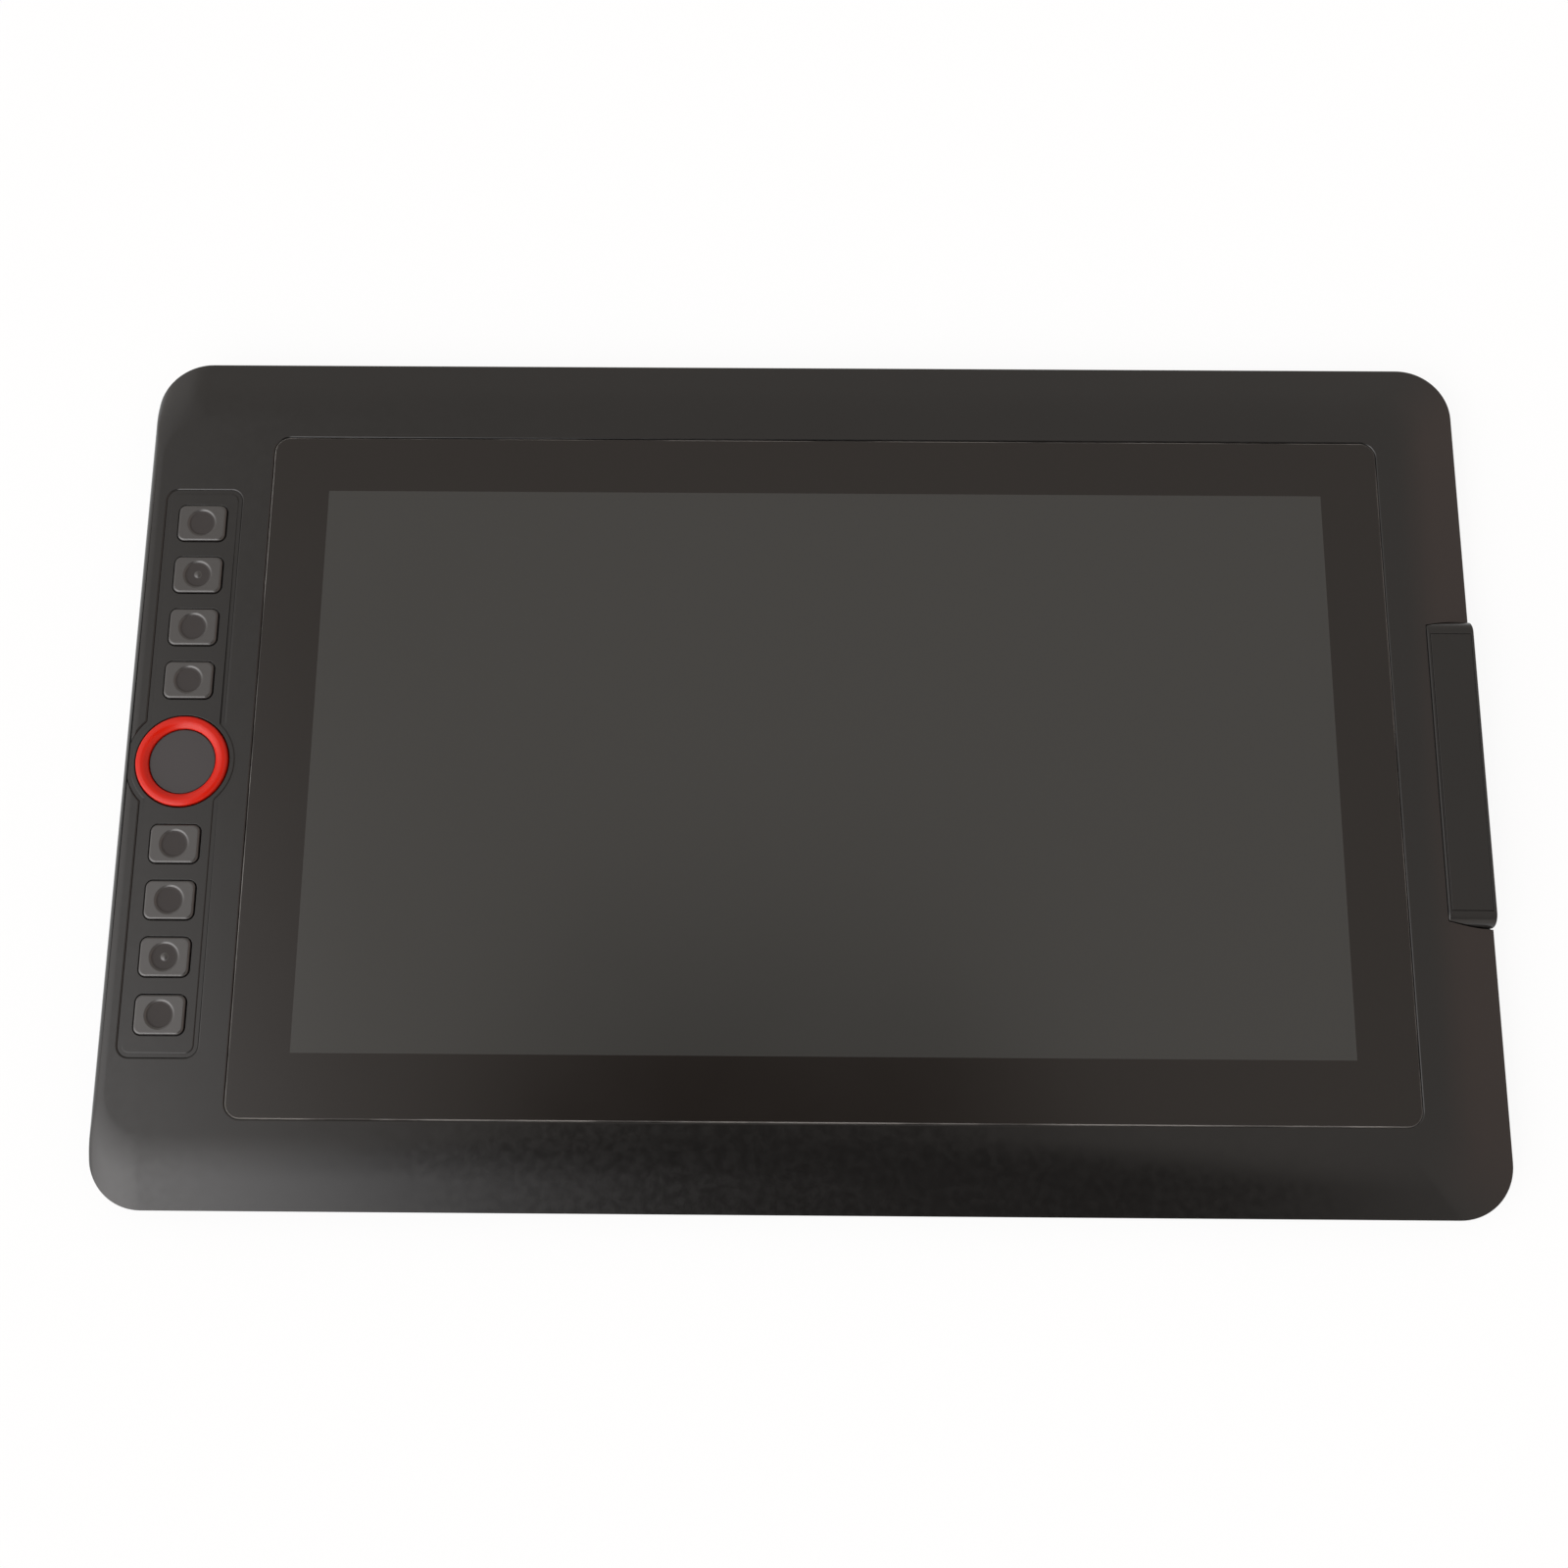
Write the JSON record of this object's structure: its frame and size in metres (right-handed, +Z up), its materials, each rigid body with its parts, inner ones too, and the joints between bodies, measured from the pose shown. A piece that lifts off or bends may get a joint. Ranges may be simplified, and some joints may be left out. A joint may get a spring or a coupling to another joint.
{
  "type": "graphics tablet with screen",
  "caption": "Flat pen display with a large matte screen, a strip of press keys round a red turning ring on the left, and a raised port tab on the right edge.",
  "frame": {"origin": "under the middle of the body, on the plane that the feet stand on", "axes": "+X to the right along the long side, +Y away from the user, +Z up out of the screen"},
  "size_m": [0.39, 0.25, 0.0141],
  "materials": {
    "case_plastic": "fine satin texture, near black",
    "key_plastic": "satin, dark grey",
    "ring_plastic": "satin, red",
    "matte_glass": "anti-glare, dark printed border",
    "panel_glass": "dark panel",
    "clear_acrylic": "clear",
    "white_film": "white film",
    "tray_steel": "pressed sheet",
    "socket_steel": "drawn shell",
    "screw_steel": "dark plated",
    "shield_metal": "soft magnetic sheet",
    "plate_aluminium": "rolled sheet",
    "circuit_board": "solder mask",
    "chip_black": "moulded",
    "connector_nylon": "moulded",
    "ribbon_film": "polyimide film",
    "dome_brass": "snap dome",
    "gasket_foam": "closed-cell foam",
    "foot_rubber": "matt rubber",
    "lens_acrylic": "milky"
  },
  "bodies": {
    "tablet": {"rear_cover": "case_plastic", "rubber_feet": "foot_rubber", "case_screws": "screw_steel", "inner_screws": "screw_steel", "main_board": "circuit_board", "main_board_chips": "chip_black", "ribbon_connectors": "connector_nylon", "support_plate": "plate_aluminium", "shield_sheet": "shield_metal", "digitizer_board": "circuit_board", "backlight_tray": "tray_steel", "reflector_sheet": "white_film", "light_guide": "clear_acrylic", "led_bar": "circuit_board", "diffuser_films": "white_film", "lcd_panel": "panel_glass", "bonding_film": "clear_acrylic", "glass_gasket": "gasket_foam", "cover_glass": "matte_glass", "front_bezel": "case_plastic", "key_panel": "case_plastic", "key_board": "circuit_board", "switch_bodies": "chip_black", "contact_domes": "dome_brass", "dial_hub": "connector_nylon", "dial_cap": "key_plastic", "detent_spring": "tray_steel", "encoder_sensor": "chip_black", "port_housing": "case_plastic", "port_board": "circuit_board", "usb_shell": "socket_steel", "usb_tongue": "chip_black", "power_switch": "chip_black", "indicator_led": "connector_nylon", "indicator_lens": "lens_acrylic", "display_ribbon": "ribbon_film", "digitizer_ribbon": "ribbon_film", "key_ribbon": "ribbon_film", "port_ribbon": "ribbon_film"},
    "key_1_body": {"key_1": "key_plastic", "switch_plunger_1": "connector_nylon"},
    "key_2_body": {"key_2": "key_plastic", "switch_plunger_2": "connector_nylon"},
    "key_3_body": {"key_3": "key_plastic", "switch_plunger_3": "connector_nylon"},
    "key_4_body": {"key_4": "key_plastic", "switch_plunger_4": "connector_nylon"},
    "key_5_body": {"key_5": "key_plastic", "switch_plunger_5": "connector_nylon"},
    "key_6_body": {"key_6": "key_plastic", "switch_plunger_6": "connector_nylon"},
    "key_7_body": {"key_7": "key_plastic", "switch_plunger_7": "connector_nylon"},
    "key_8_body": {"key_8": "key_plastic", "switch_plunger_8": "connector_nylon"},
    "dial_body": {"dial_ring": "ring_plastic", "dial_rotor": "chip_black"},
    "power_body": {"power_button": "key_plastic", "power_plunger": "connector_nylon"}
  },
  "joints": [
    {"name": "key_1_press", "type": "slide", "parent": "tablet", "child": "key_1_body", "axis": [0, 0, -1], "range_m": [0, 0.0005], "stiffness_N_per_m": 900, "springref_m": -0.0004},
    {"name": "key_2_press", "type": "slide", "parent": "tablet", "child": "key_2_body", "axis": [0, 0, -1], "range_m": [0, 0.0005], "stiffness_N_per_m": 900, "springref_m": -0.0004},
    {"name": "key_3_press", "type": "slide", "parent": "tablet", "child": "key_3_body", "axis": [0, 0, -1], "range_m": [0, 0.0005], "stiffness_N_per_m": 900, "springref_m": -0.0004},
    {"name": "key_4_press", "type": "slide", "parent": "tablet", "child": "key_4_body", "axis": [0, 0, -1], "range_m": [0, 0.0005], "stiffness_N_per_m": 900, "springref_m": -0.0004},
    {"name": "key_5_press", "type": "slide", "parent": "tablet", "child": "key_5_body", "axis": [0, 0, -1], "range_m": [0, 0.0005], "stiffness_N_per_m": 900, "springref_m": -0.0004},
    {"name": "key_6_press", "type": "slide", "parent": "tablet", "child": "key_6_body", "axis": [0, 0, -1], "range_m": [0, 0.0005], "stiffness_N_per_m": 900, "springref_m": -0.0004},
    {"name": "key_7_press", "type": "slide", "parent": "tablet", "child": "key_7_body", "axis": [0, 0, -1], "range_m": [0, 0.0005], "stiffness_N_per_m": 900, "springref_m": -0.0004},
    {"name": "key_8_press", "type": "slide", "parent": "tablet", "child": "key_8_body", "axis": [0, 0, -1], "range_m": [0, 0.0005], "stiffness_N_per_m": 900, "springref_m": -0.0004},
    {"name": "dial_turn", "type": "hinge", "parent": "tablet", "child": "dial_body", "pos_m": [-0.1774, 0, 0.013], "axis": [0, 0, 1], "continuous": true},
    {"name": "power_press", "type": "slide", "parent": "tablet", "child": "power_body", "axis": [-1, 0, 0], "range_m": [0, 0.0004], "stiffness_N_per_m": 1200, "springref_m": -0.0004}
  ]
}
